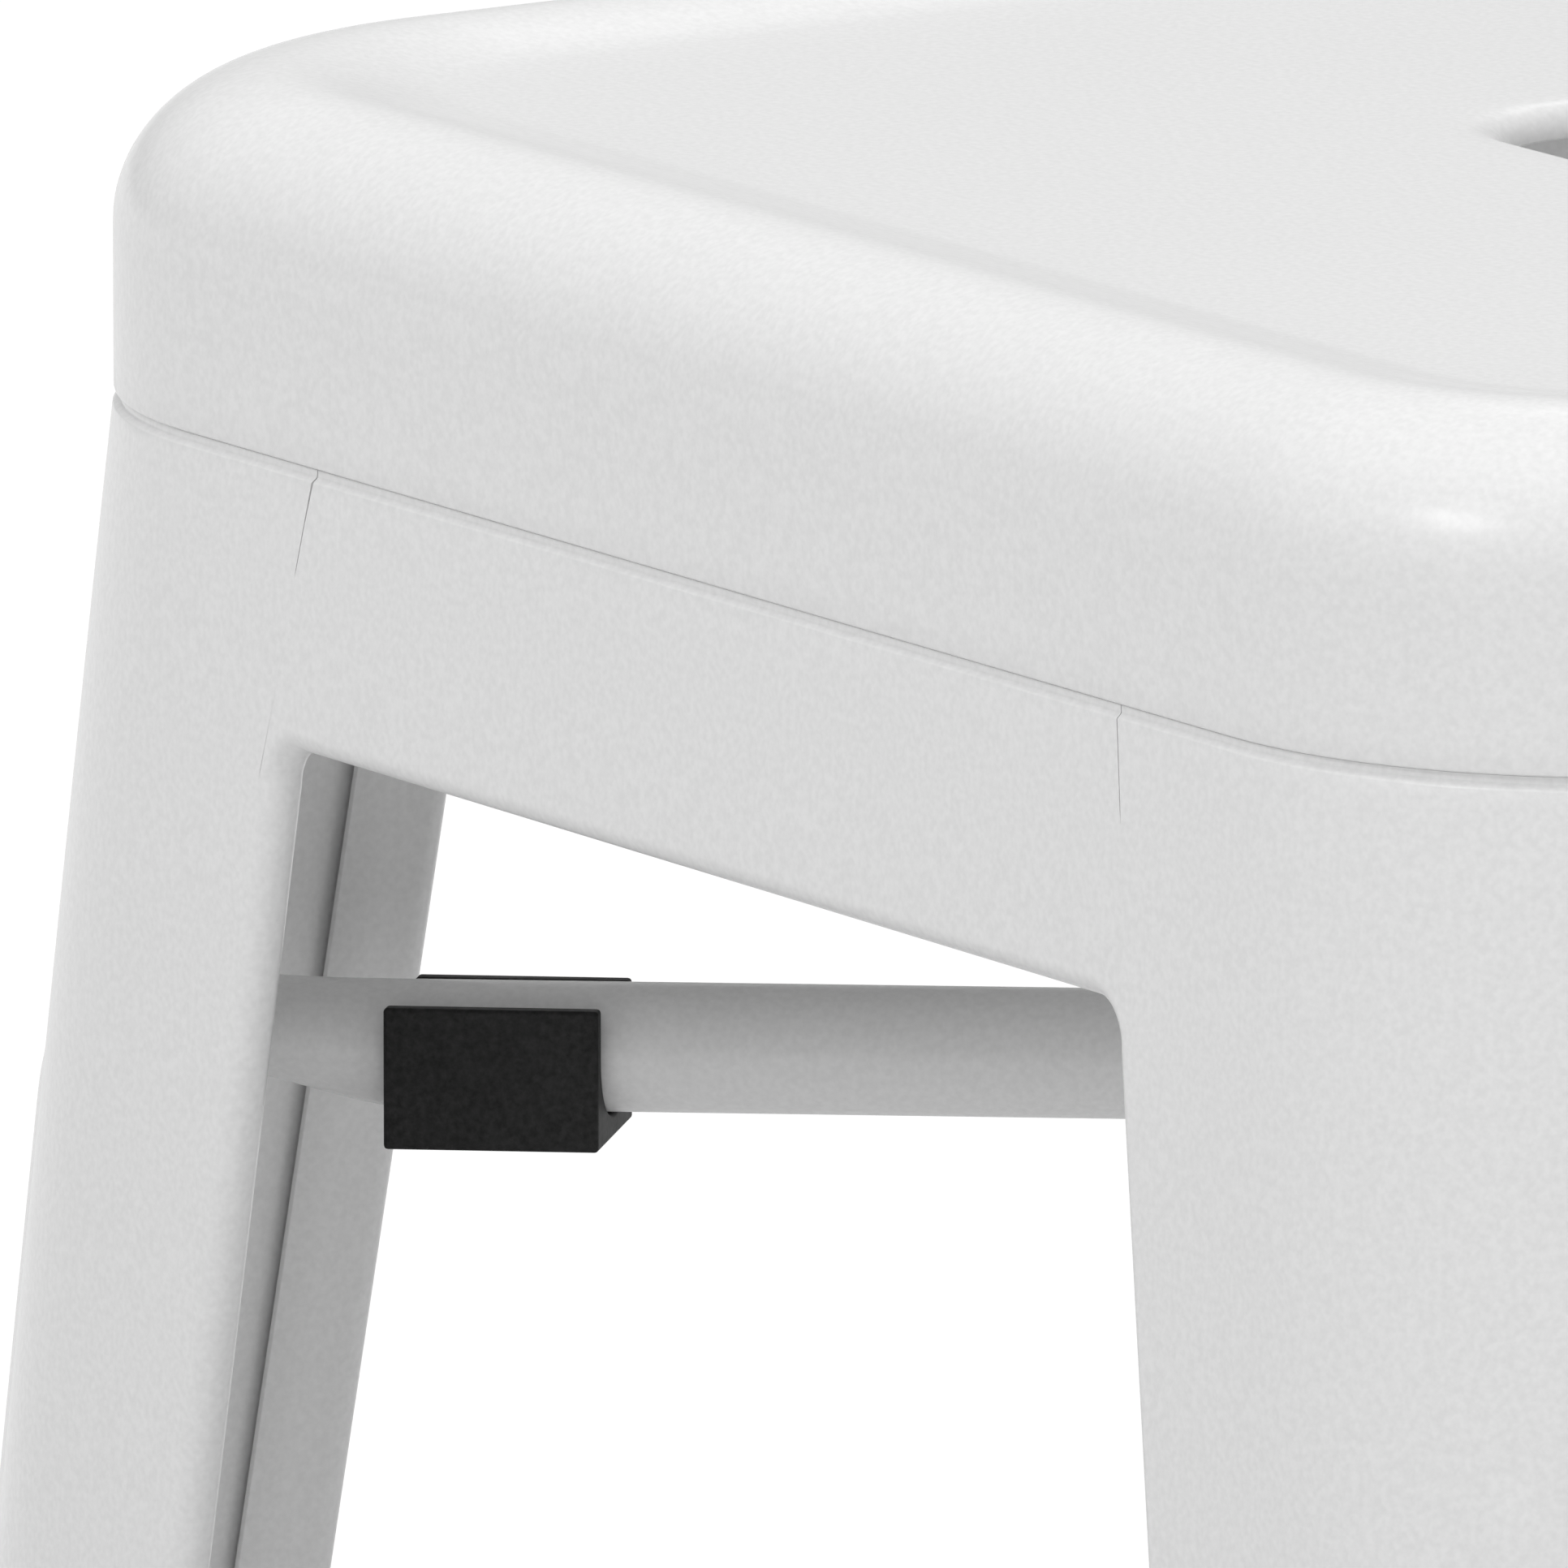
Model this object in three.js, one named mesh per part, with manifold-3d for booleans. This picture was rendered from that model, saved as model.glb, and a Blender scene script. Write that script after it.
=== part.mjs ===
// Stacking stool of pressed sheet steel: a square seat pan, four folded legs, four aprons,
// two crossed braces, four stacking pads and four moulded feet.
// Millimetres, +Z up. The origin is on the floor under the centre of the seat, the front is -Y.
import * as THREE from 'three';
import { mergeVertices } from 'three/addons/utils/BufferGeometryUtils.js';
import Module from 'manifold-3d';

const wasm = await Module();
wasm.setup();

// Overall sizes
const SEAT_HEIGHT = 450;
const SEAT_HALF = 155;
const SEAT_CORNER = 50;
const SHEET = 1.2;
const GAP = 0.3;

// Seat pan
const RIM_RISE = 38;
const RIM_RADIUS = 18;
const DISH_DROP = 2.8;
const DISH_INSET = 35.5;
const DISH_CORNER = 28;
const HOLE_HALF = 31.4;
const HOLE_CORNER = 16;
const HOLE_LIP = 3.4;
const SEAM_Z = SEAT_HEIGHT - RIM_RISE;

// Joggled lip that stands inside the seat's skirt
const LIP_RISE = 14;
const LIP_INSET = 1.5;
const SEAM_GAP = 0.5;

// Legs
const SPLAY = 0.038;
const LEG_WIDTH = 76.3;
const LEG_TAPER = 0.117;
const HEM_RADIUS = 2.7;
const HEM_LENGTH = 13;
const HEM_SLIT = 1.0;
const HEM_START = 38;
const HEM_FULL = 50;
const HEM_STEPS = 7;
const PLAIN_EDGE = 4;
const BEAD_START = 70;
const BEAD_FULL = 84;
const BEAD_HALF_WIDTH = 5;
const BEAD_HEIGHT = 1;

// Aprons
const APRON_DEPTH = 32.5;
const APRON_FILLET = 4.8;
const APRON_BEND = 2.7;
const APRON_FLANGE = 5.4;
// Joints with the legs, from the middle of the side: place at the seam and growth per mm of depth
const BUTT_LEFT = [77.7, 0.265];
const BUTT_RIGHT = [83.2, 0.117];

// Braces and their stacking pads
const BRACE_RADIUS = 7.5;
const BRACE_WALL = 1.2;
const BRACE_DROP = 77.4;
const BRACE_BOW = 4.9;
const BRACE_END_FLAT = 5.4;
const BRACE_PINCH_START = 163;
const BRACE_PINCH_LENGTH = 24;
const BRACE_MID_FLAT = 4.4;
const BRACE_END_CLEARANCE = 1.9;
const PAD_CENTRE = 153.6;
const PAD_LENGTH = 25.2;
const PAD_HALF_WIDTH = 10;
const PAD_ABOVE = 6.1;
const PAD_BELOW = 10.5;

// Feet
const FOOT_FLOOR = 4;
const FOOT_HEIGHT = 16;
const FOOT_WALL = 1.8;

const steel = { color: 0xe9e9e8, roughness: 0.38, metalness: 0.0 };
const padRubber = { color: 0x1b1b1c, roughness: 0.62, metalness: 0.0 };
const footRubber = { color: 0x232324, roughness: 0.75, metalness: 0.0 };

const lerp = (a, b, t) => a + (b - a) * t;
const clamp01 = (t) => Math.min(1, Math.max(0, t));
const smooth = (t) => clamp01(t) * clamp01(t) * (3 - 2 * clamp01(t));

// Distance of a leg's or apron's outer face from the seat's axis, at a depth below the seam
const faceAt = (depth) => SEAT_HALF + SPLAY * Math.max(0, depth);
// Distance of a sheet's edge from the middle of the side, at its joint with a leg or an apron
const buttAt = ([place, slope], depth) => place + slope * Math.max(0, depth);
const legWidth = (depth) => LEG_WIDTH - LEG_TAPER * depth;
const legCorner = (depth) => SEAT_CORNER - 0.147 * depth + 0.00011 * depth * depth;

// ---- mesh helpers ----

function meshGeometry(points, faces) {
  const geometry = new THREE.BufferGeometry();
  geometry.setAttribute('position', new THREE.Float32BufferAttribute(points.flat(), 3));
  geometry.setIndex(faces);
  return geometry;
}

// Joins rings of equal length; a closed stack returns to its first ring, an open one gets flat ends
function loft(rings, closed) {
  const n = rings[0].length;
  const faces = [];
  const stack = closed ? rings.length : rings.length - 1;
  for (let k = 0; k < stack; k += 1) {
    const a = k * n;
    const b = ((k + 1) % rings.length) * n;
    for (let i = 0; i < n; i += 1) {
      const j = (i + 1) % n;
      faces.push(a + i, a + j, b + j, a + i, b + j, b + i);
    }
  }
  if (!closed) {
    const last = (rings.length - 1) * n;
    for (const [p, q, r] of capFaces(rings[0])) {
      faces.push(r, q, p);
    }
    for (const [p, q, r] of capFaces(rings[rings.length - 1])) {
      faces.push(last + p, last + q, last + r);
    }
  }
  return outward(meshGeometry(rings.flat(), faces));
}

// Triangles of a flat ring, wound the same way as the ring
function capFaces(ring) {
  const normal = ringNormal(ring);
  const side = Math.abs(normal.z) > 0.5 ? [0, 1] : Math.abs(normal.y) > 0.5 ? [2, 0] : [1, 2];
  const flat = ring.map((p) => new THREE.Vector2(p[side[0]], p[side[1]]));
  const forward = !THREE.ShapeUtils.isClockWise(flat);
  const order = forward ? flat : [...flat].reverse();
  return THREE.ShapeUtils.triangulateShape(order, []).map(([p, q, r]) => {
    const last = ring.length - 1;
    return forward ? [p, q, r] : [last - r, last - q, last - p];
  });
}

function ringNormal(ring) {
  const normal = new THREE.Vector3();
  ring.forEach((p, i) => {
    const q = ring[(i + 1) % ring.length];
    normal.x += (p[1] - q[1]) * (p[2] + q[2]);
    normal.y += (p[2] - q[2]) * (p[0] + q[0]);
    normal.z += (p[0] - q[0]) * (p[1] + q[1]);
  });
  return normal.normalize();
}

// Turns a closed mesh inside out if its volume comes out negative
function outward(geometry) {
  const p = geometry.attributes.position;
  const index = geometry.index.array;
  const corner = [0, 1, 2].map(() => new THREE.Vector3());
  let volume = 0;
  for (let i = 0; i < index.length; i += 3) {
    corner.forEach((v, k) => v.fromBufferAttribute(p, index[i + k]));
    volume += corner[0].dot(corner[1].clone().cross(corner[2]));
  }
  if (volume < 0) {
    for (let i = 0; i < index.length; i += 3) {
      [index[i], index[i + 1]] = [index[i + 1], index[i]];
    }
  }
  return geometry;
}

function toManifold(geometry) {
  const merged = mergeVertices(geometry, 1e-5);
  const vertProperties = Float32Array.from(merged.attributes.position.array);
  const triVerts = Uint32Array.from(merged.index.array);
  return new wasm.Manifold(new wasm.Mesh({ numProp: 3, vertProperties, triVerts }));
}

function fromManifold(body) {
  const mesh = body.getMesh();
  const geometry = new THREE.BufferGeometry();
  geometry.setAttribute('position', new THREE.BufferAttribute(mesh.vertProperties, 3));
  geometry.setIndex(Array.from(mesh.triVerts));
  return geometry;
}

// Outline of a strip of sheet whose middle line is the given path
function stripOutline(path, thickness) {
  const left = [];
  const right = [];
  path.forEach(([x, y], i) => {
    const before = path[Math.max(0, i - 1)];
    const after = path[Math.min(path.length - 1, i + 1)];
    const a = new THREE.Vector2(x - before[0], y - before[1]).normalize();
    const b = new THREE.Vector2(after[0] - x, after[1] - y).normalize();
    const along = a.clone().add(b).normalize();
    const stretch = i === 0 || i === path.length - 1 ? 1 : 1 / Math.max(0.5, along.dot(b));
    const half = 0.5 * thickness * stretch;
    left.push([x - along.y * half, y + along.x * half]);
    right.push([x + along.y * half, y - along.x * half]);
  });
  return [...left, ...right.reverse()];
}

function arc(cx, cy, radius, from, to, steps) {
  const points = [];
  for (let i = 0; i <= steps; i += 1) {
    const angle = lerp(from, to, i / steps);
    points.push([cx + radius * Math.cos(angle), cy + radius * Math.sin(angle)]);
  }
  return points;
}

// ---- seat pan ----

// Square outline with rounded corners
function squareRing(half, radius, z, steps) {
  const c = half - radius;
  const ring = [];
  for (let quarter = 0; quarter < 4; quarter += 1) {
    const start = (quarter * Math.PI) / 2;
    const cx = quarter === 0 || quarter === 3 ? c : -c;
    const cy = quarter < 2 ? c : -c;
    for (const [x, y] of arc(cx, cy, radius, start, start + Math.PI / 2, steps)) {
      ring.push([x, y, z]);
    }
  }
  return ring;
}

// Corner radius of the pan at an inset from its outer face
function panCorner(inset) {
  const edge = lerp(SEAT_CORNER, DISH_CORNER, clamp01(inset / DISH_INSET));
  const dish = clamp01((inset - DISH_INSET) / (SEAT_HALF - HOLE_HALF - DISH_INSET));
  return lerp(edge, HOLE_CORNER, dish);
}

// Middle line of the pan's sheet, as inset and height above the seam
function panPath() {
  const half = SHEET / 2;
  const crown = RIM_RISE - half;
  const shoulder = RIM_RADIUS - half;
  const path = [[half, SEAM_GAP], [half, 7], [half, 14]];
  path.push(...arc(RIM_RADIUS, RIM_RISE - RIM_RADIUS, shoulder, Math.PI, Math.PI / 2, 9));
  for (let i = 1; i <= 7; i += 1) {
    const t = i / 7;
    path.push([lerp(RIM_RADIUS, DISH_INSET, t), crown - DISH_DROP * smooth(t)]);
  }
  const lipStart = SEAT_HALF - HOLE_HALF - HOLE_LIP;
  const dish = crown - DISH_DROP;
  path.push([lerp(DISH_INSET, lipStart, 0.5), dish], [lipStart - 2, dish]);
  path.push(...arc(lipStart, dish - HOLE_LIP + half, HOLE_LIP - half, Math.PI / 2, 0, 5));
  return path;
}

function seatPan() {
  const outline = stripOutline(panPath(), SHEET);
  const rings = outline.map(([inset, rise]) => {
    return squareRing(SEAT_HALF - inset, panCorner(inset), SEAM_Z + rise, 8);
  });
  return loft(rings, true);
}

// ---- legs ----

// Half of the rounded outer corner, from the flat face to the corner's middle, with its raised bead
function cornerArc(depth, grow) {
  const corner = legCorner(depth);
  const bead = BEAD_HEIGHT * smooth((depth - BEAD_START) / (BEAD_FULL - BEAD_START));
  const points = [];
  for (let i = 0; i <= 8; i += 1) {
    const t = 1 - i / 8;
    const fromMiddle = (Math.PI / 4) * t * (0.55 + 0.45 * t);
    const share = Math.min(1, (fromMiddle * corner) / BEAD_HALF_WIDTH);
    const radius = corner + grow + bead * Math.cos(share * Math.PI * 0.5);
    const turn = Math.PI / 4 - fromMiddle;
    points.push([corner - radius * Math.sin(turn), corner - radius * Math.cos(turn)]);
  }
  return points;
}

// Middle line of one hem, from its free edge round the fold to the flat face
function hemPath(depth) {
  const half = SHEET / 2;
  const width = legWidth(depth);
  const bend = HEM_RADIUS - half;
  const fold = arc(width - HEM_RADIUS, HEM_RADIUS, bend, 0.62 * Math.PI, -0.5 * Math.PI, HEM_STEPS);
  return [[width - HEM_LENGTH, SHEET + HEM_SLIT + half], ...fold];
}

// The same stretch of sheet where it is still a plain edge butted to the apron at the given joint
function plainEdgePath(depth, inset, joint) {
  const width = faceAt(depth) - buttAt(joint, depth) - GAP / 2 - inset;
  const path = [];
  for (let i = 0; i < HEM_STEPS + 2; i += 1) {
    path.push([width - (i / (HEM_STEPS + 1)) * PLAIN_EDGE, SHEET / 2]);
  }
  return path;
}

// Folded section in the front left leg's own frame: outer corner at the origin, faces along +X and +Y
function legSection(depth, inset, frontEdge, sideEdge) {
  const level = Math.max(0, depth);
  const [front, side] = [frontEdge, sideEdge].map((edge) => {
    const flat = lerp(legCorner(level), edge[edge.length - 1][0], 0.5);
    return [...edge, [flat, SHEET / 2], ...cornerArc(level, -SHEET / 2)];
  });
  const mirrored = side.slice(0, -1).map(([u, v]) => [v, u]).reverse();
  return stripOutline([...front, ...mirrored], SHEET).map(([u, v]) => [u + inset, v + inset]);
}

function legRing(section, depth) {
  const face = faceAt(depth);
  return section.map(([u, v]) => [u - face, v - face, SEAM_Z - depth]);
}

function leg() {
  const bottom = SEAM_Z - FOOT_FLOOR - GAP;
  const lip = [[-LIP_RISE, LIP_INSET], [-0.1, LIP_INSET], [0.4, 0.35], [1, 0], [HEM_START, 0]];
  const hemmed = [HEM_FULL, BEAD_START, BEAD_FULL, 130, 200, 300, bottom];
  const collar = lip.map(([depth, inset]) => {
    const [left, right] = [BUTT_LEFT, BUTT_RIGHT].map((joint) => plainEdgePath(depth, inset, joint));
    return legRing(legSection(depth, inset, left, right), depth);
  });
  const shaft = hemmed.map((depth) => {
    return legRing(legSection(depth, 0, hemPath(depth), hemPath(depth)), depth);
  });
  return loft([...collar, ...shaft], false);
}

// ---- aprons ----

// Middle line of the apron's sheet for a lower edge at a given depth, as inset and depth
function apronPath(edge) {
  const half = SHEET / 2;
  const path = [[LIP_INSET + half, -LIP_RISE], [LIP_INSET + half, -0.3], [half + 0.35, 0.4], [half, 1]];
  path.push([half, edge / 2]);
  const turn = arc(APRON_BEND, edge - APRON_BEND, APRON_BEND - half, Math.PI, Math.PI / 2, 4);
  path.push(...turn, [APRON_FLANGE, edge - half]);
  return path;
}

// Depth of the apron's lower edge at a share of the way from its middle to its end
function apronEdge(share) {
  const fromEnd = (1 - Math.abs(share)) * buttAt(BUTT_RIGHT, APRON_DEPTH);
  const t = clamp01(1 - fromEnd / APRON_FILLET);
  return APRON_DEPTH + APRON_FILLET * 0.8 * (1 - Math.sqrt(1 - t * t * 0.96));
}

function apron() {
  const shares = [-1, -0.992, -0.975, -0.95, -0.92, -0.5, 0, 0.5, 0.92, 0.95, 0.975, 0.992, 1];
  const rings = shares.map((share) => {
    const outline = stripOutline(apronPath(apronEdge(share)), SHEET);
    return outline.map(([inset, depth]) => {
      const left = GAP / 2 - buttAt(BUTT_LEFT, depth);
      const right = buttAt(BUTT_RIGHT, depth) - GAP / 2;
      return [lerp(left, right, (share + 1) / 2), inset - faceAt(depth), SEAM_Z - depth];
    });
  });
  return loft(rings, false);
}

// ---- braces ----

// Share of the flattening at a brace's end, which lifts the underside and leaves the top straight
const endPinch = (distance) => smooth((Math.abs(distance) - BRACE_PINCH_START) / BRACE_PINCH_LENGTH);

// Height of a brace's axis above the floor, at a distance from the middle; side is 1 or -1
function braceZ(distance, side) {
  const reach = SEAT_HALF * Math.SQRT2 - BRACE_RADIUS;
  const bow = BRACE_BOW * (1 - Math.min(1, Math.hypot(distance, 12) / (reach * 0.83)));
  const lift = (BRACE_RADIUS - BRACE_END_FLAT) * endPinch(distance);
  return SEAM_Z - BRACE_DROP + side * bow + lift;
}

// Half height of the brace's tube, pinched where the two cross and at the legs
function braceHalfHeight(distance) {
  const middle = lerp(BRACE_MID_FLAT, BRACE_RADIUS, smooth((Math.abs(distance) - 10) / 18));
  return lerp(middle, BRACE_END_FLAT, endPinch(distance));
}

function braceRing(distance, side, inset) {
  const height = braceHalfHeight(distance);
  const width = BRACE_RADIUS + (BRACE_RADIUS - height) * 0.8;
  const ring = [];
  for (let i = 0; i < 16; i += 1) {
    const angle = (i / 16) * Math.PI * 2;
    const across = (width - inset) * Math.cos(angle);
    const up = (height - inset) * Math.sin(angle);
    ring.push([distance, across, braceZ(distance, side) + up]);
  }
  return ring;
}

// Distance from the middle to the inner face of a leg's corner, at the braces' height
function braceReach() {
  const depth = BRACE_DROP;
  const corner = legCorner(depth);
  return (faceAt(depth) - corner) * Math.SQRT2 + corner - SHEET - BRACE_END_CLEARANCE;
}

function brace(side) {
  const reach = braceReach();
  const stops = [reach, 182, 176, 170, BRACE_PINCH_START, 100, 30, 22, 15, 9, 0];
  const stations = [...stops.map((s) => -s), ...stops.slice(0, -1).reverse()];
  const outer = stations.map((s) => braceRing(s, side, 0));
  const inner = stations.map((s) => braceRing(s, side, BRACE_WALL)).reverse();
  const geometry = loft([...outer, ...inner], true);
  return geometry.rotateZ(side > 0 ? Math.PI / 4 : -Math.PI / 4);
}

// Saddle that wraps the underside and both sides of a brace, open above
function stackPad(side) {
  const inner = BRACE_RADIUS + GAP;
  const chamfer = 0.6;
  const profile = [[-PAD_HALF_WIDTH, PAD_ABOVE], [-PAD_HALF_WIDTH, chamfer - PAD_BELOW]];
  profile.push([chamfer - PAD_HALF_WIDTH, -PAD_BELOW], [PAD_HALF_WIDTH - chamfer, -PAD_BELOW]);
  profile.push([PAD_HALF_WIDTH, chamfer - PAD_BELOW], [PAD_HALF_WIDTH, PAD_ABOVE], [inner, PAD_ABOVE]);
  profile.push(...arc(0, 0, inner, 0, -Math.PI, 12), [-inner, PAD_ABOVE]);
  const rings = [-0.5, 0.5].map((end) => {
    const distance = -(PAD_CENTRE + end * PAD_LENGTH);
    return profile.map(([across, up]) => [distance, across, braceZ(distance, side) + up]);
  });
  return loft(rings, false);
}

// ---- feet ----

// Outline of the space a leg's lower end fills, grown by a margin
function footOutline(depth, grow) {
  const width = legWidth(depth) + grow;
  const reach = 2 * HEM_RADIUS + grow;
  const half = [[width, reach], [width, -grow], ...cornerArc(depth, grow)];
  return [...half, ...half.slice(0, -1).map(([u, v]) => [v, u]).reverse()];
}

// Depths below the seam run down the leg, so the floor is the deepest
function foot() {
  const top = SEAM_Z - FOOT_HEIGHT;
  const shell = footBlock(SEAM_Z, top, FOOT_WALL);
  const pocket = footBlock(SEAM_Z - FOOT_FLOOR, top - 4, GAP);
  return fromManifold(toManifold(shell).subtract(toManifold(pocket)));
}

function footBlock(bottom, top, grow) {
  return loft([bottom, top].map((depth) => legRing(footOutline(depth, grow), depth)), false);
}

// ---- assembly ----

function part(name, geometry, finish, turn = 0) {
  const placed = geometry.clone().rotateZ((turn * Math.PI) / 2);
  placed.computeVertexNormals();
  const mesh = new THREE.Mesh(placed, new THREE.MeshStandardMaterial(finish));
  mesh.name = name;
  return mesh;
}

function stool() {
  const group = new THREE.Group();
  group.name = 'stool';
  group.add(part('seat_pan', seatPan(), steel));
  const corners = ['front_left', 'front_right', 'rear_right', 'rear_left'];
  const sides = ['front', 'right', 'rear', 'left'];
  const legBody = leg();
  const apronBody = apron();
  const footBody = foot();
  corners.forEach((corner, turn) => {
    const side = turn % 2 === 0 ? 1 : -1;
    const pad = stackPad(side).rotateZ(Math.PI / 4);
    group.add(part(`leg_${corner}`, legBody, steel, turn));
    group.add(part(`stack_pad_${corner}`, pad, padRubber, turn));
    group.add(part(`foot_${corner}`, footBody, footRubber, turn));
  });
  sides.forEach((side, turn) => {
    group.add(part(`apron_${side}`, apronBody, steel, turn));
  });
  group.add(part('brace_upper', brace(1), steel));
  group.add(part('brace_lower', brace(-1), steel));
  return group;
}

export default stool();
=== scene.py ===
"""Stacking stool of pressed sheet steel: fine sheet meshes, materials, studio light and camera."""

from math import cos, pi, sin, sqrt

import bpy
from mathutils import Matrix, Vector


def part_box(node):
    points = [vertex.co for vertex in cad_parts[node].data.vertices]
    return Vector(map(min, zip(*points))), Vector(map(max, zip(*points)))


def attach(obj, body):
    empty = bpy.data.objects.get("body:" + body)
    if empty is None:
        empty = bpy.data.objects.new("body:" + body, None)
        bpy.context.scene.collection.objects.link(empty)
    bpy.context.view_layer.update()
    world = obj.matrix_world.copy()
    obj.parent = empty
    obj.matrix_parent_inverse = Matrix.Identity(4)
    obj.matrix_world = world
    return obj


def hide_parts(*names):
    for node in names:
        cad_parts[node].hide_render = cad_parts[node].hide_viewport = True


MM = 0.001

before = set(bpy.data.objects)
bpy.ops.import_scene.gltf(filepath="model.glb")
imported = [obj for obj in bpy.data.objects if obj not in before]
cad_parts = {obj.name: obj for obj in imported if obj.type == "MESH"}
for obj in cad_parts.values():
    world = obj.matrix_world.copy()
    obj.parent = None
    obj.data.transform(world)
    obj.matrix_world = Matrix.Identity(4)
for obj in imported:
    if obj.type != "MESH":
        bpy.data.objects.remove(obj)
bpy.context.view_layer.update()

# Sizes in millimetres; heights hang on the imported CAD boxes
pan_low, pan_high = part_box("seat_pan")
HALF = pan_high[0] / MM
SEAM_GAP = 0.5
SEAM = pan_low[2] / MM - SEAM_GAP
SHEET = 1.2

# Seat pan: rim, shallow dish and the hole with its turned-down lip
PAN_CORNER = 50.0
RIM_RISE = 38.0
RIM_RADIUS = 18.0
DISH_DROP = 2.8
DISH_INSET = 35.5
DISH_CORNER = 28.0
HOLE_HALF = 31.4
HOLE_CORNER = 16.0
HOLE_LIP = 3.4

# Joggled lip inside the skirt, and the groove below it that the paint fills
LIP_RISE = 14.0
LIP_INSET = 1.5
LIP_SHELF = -0.45
LIP_TURN = 1.1
GROOVE = 0.6
GROOVE_FLOOR = 0.35

# Legs: splay of each face, width and corner radius going down, hems and the corner's bead
SPLAY = 0.038
LEG_WIDTH = 76.3
LEG_TAPER = 0.117
CORNER_FALL = 0.147
CORNER_EASE = 0.00011
CORNER_CROWDING = 0.35
HEM_RADIUS = 2.7
HEM_FOLD = 0.62 * pi
HEM_LENGTH = 13.0
HEM_SLIT = 1.0
HEM_TOP = 37.3
BEAD_START = 72.0
BEAD_FULL = 84.0
BEAD_HALF_WIDTH = 5.0
BEAD_HEIGHT = 1.0

# Joints between leg and apron, from the middle of the side: place at the seam, growth per mm down
BUTT_LEFT = (77.7, 0.265)
BUTT_RIGHT = (83.2, 0.117)
BUTT_GAP = 0.16
BUTT_OPEN = 12.5
BUTT_CLOSING = 1.5

# Aprons
APRON_DEPTH = 32.5
APRON_FILLET = 4.8
APRON_BEND = 2.7
APRON_CROWN_MARGIN = 3
# Rows down the plate: share of the way to the rolled edge, and the depth at which an end's row
# follows the joint, or 0 where it stays on the edge
APRON_ROWS = ((0.1, 6), (0.2, 11), (0.3, BUTT_OPEN), (0.45, 20), (0.7, HEM_TOP), (1.0, 0))

# Braces, pinched at the legs and flattened where they cross
BRACE_RADIUS = 7.5
BRACE_WALL = 1.2
BRACE_DROP = 77.4
BRACE_BOW = 4.9
BRACE_BOW_ROUNDING = 12
BRACE_BOW_SPAN = 0.83
BRACE_END_FLAT = 5.4
BRACE_PINCH_START = 163.0
BRACE_PINCH_LENGTH = 24.0
BRACE_MID_FLAT = 4.4
BRACE_MID_START = 10
BRACE_MID_LENGTH = 18
BRACE_WIDENING = 0.8
BRACE_SIDES = 48

# Stacking pads
PAD_CENTRE = 153.6
PAD_LENGTH = 25.2
PAD_HALF_WIDTH = 10.0
PAD_ABOVE = 6.1
PAD_BELOW = 10.5
PAD_BEVEL = 0.5

# Feet, and the play between pieces that are pushed together
FOOT_FLOOR = 4.0
FOOT_HEIGHT = 16.0
FOOT_WALL = 1.8
FOOT_BEVEL = 0.5
GAP = 0.3

# Angles in radians: points round a free edge, and where shading and bevels start
EDGE_TURNS = (0.6, 1.2, pi / 2, pi - 1.2, pi - 0.6)
SHARP_ANGLE = 32 * pi / 180
BEVEL_ANGLE = 0.6

# Materials: the two ends of each tone and roughness, noise cells per metre, bump heights in metres
COAT_DARK = (0.735, 0.735, 0.735)
COAT_LIGHT = (0.795, 0.795, 0.795)
COAT_ROUGHNESS = (0.22, 0.3)
COAT_SPECULAR = 0.3
COAT_PEEL_CELLS = 420.0
COAT_PEEL_HEIGHT = 0.000005
COAT_GRAIN_CELLS = 1100.0
COAT_GRAIN_HEIGHT = 0.0000015
COAT_DRIFT_CELLS = 9.0
PLASTIC_DARK = (0.001, 0.001, 0.001)
PLASTIC_LIGHT = (0.018, 0.018, 0.018)
PLASTIC_ROUGHNESS = (0.64, 0.48)
PLASTIC_SPECULAR = 0.28
PLASTIC_GRAIN_CELLS = 1100.0
PLASTIC_GRAIN_HEIGHT = 0.00004
PLASTIC_RUB_CELLS = 160.0
RUBBER_DARK = (0.018, 0.018, 0.019)
RUBBER_LIGHT = (0.034, 0.034, 0.034)
RUBBER_ROUGHNESS = (0.7, 0.84)
RUBBER_PEBBLE_CELLS = 1400.0
RUBBER_PEBBLE_HEIGHT = 0.00006
RUBBER_BLOOM_CELLS = 90.0

# Stage, light and camera, in metres; the lens and its sensor in millimetres
FLOOR_REACH = 30
FLOOR_TONE = 0.5
FLOOR_ROUGHNESS = 0.9
# The floor's glow is painted light: a weak glow near the stool paints a shadow pool, a stronger one
# further out and on one side paints light
FLOOR_PAINTED_SHADOW_GLOW = 0.06
FLOOR_PAINTED_FAR_GLOW = 0.5
FLOOR_PAINTED_SHADOW_EDGE = 0.6
FLOOR_PAINTED_GLOW_START = 1.35
FLOOR_PAINTED_SIDE_GLOW = 0.26
FLOOR_PAINTED_SIDE_GLOW_FROM = -0.1
FLOOR_PAINTED_SIDE_GLOW_TO = 0.8
FLOOR_PAINTED_GLOW_WAY = (0.95, 0.31, 0)
ROOM_BASE = 0.135
# Each lobe of room light: its direction, how tightly it gathers there, its strength
ROOM_LIGHT = (
    ((0, 0, 1), 1, 0.87),
    ((0, 0, 1), 6, 1.1),
    ((0.93, 0.03, 0.33), 9, 0.36),
    ((-0.81, 0.54, 0.2), 12, 0.25),
)
SEAT = Vector((0, 0, SEAM * MM))
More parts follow.
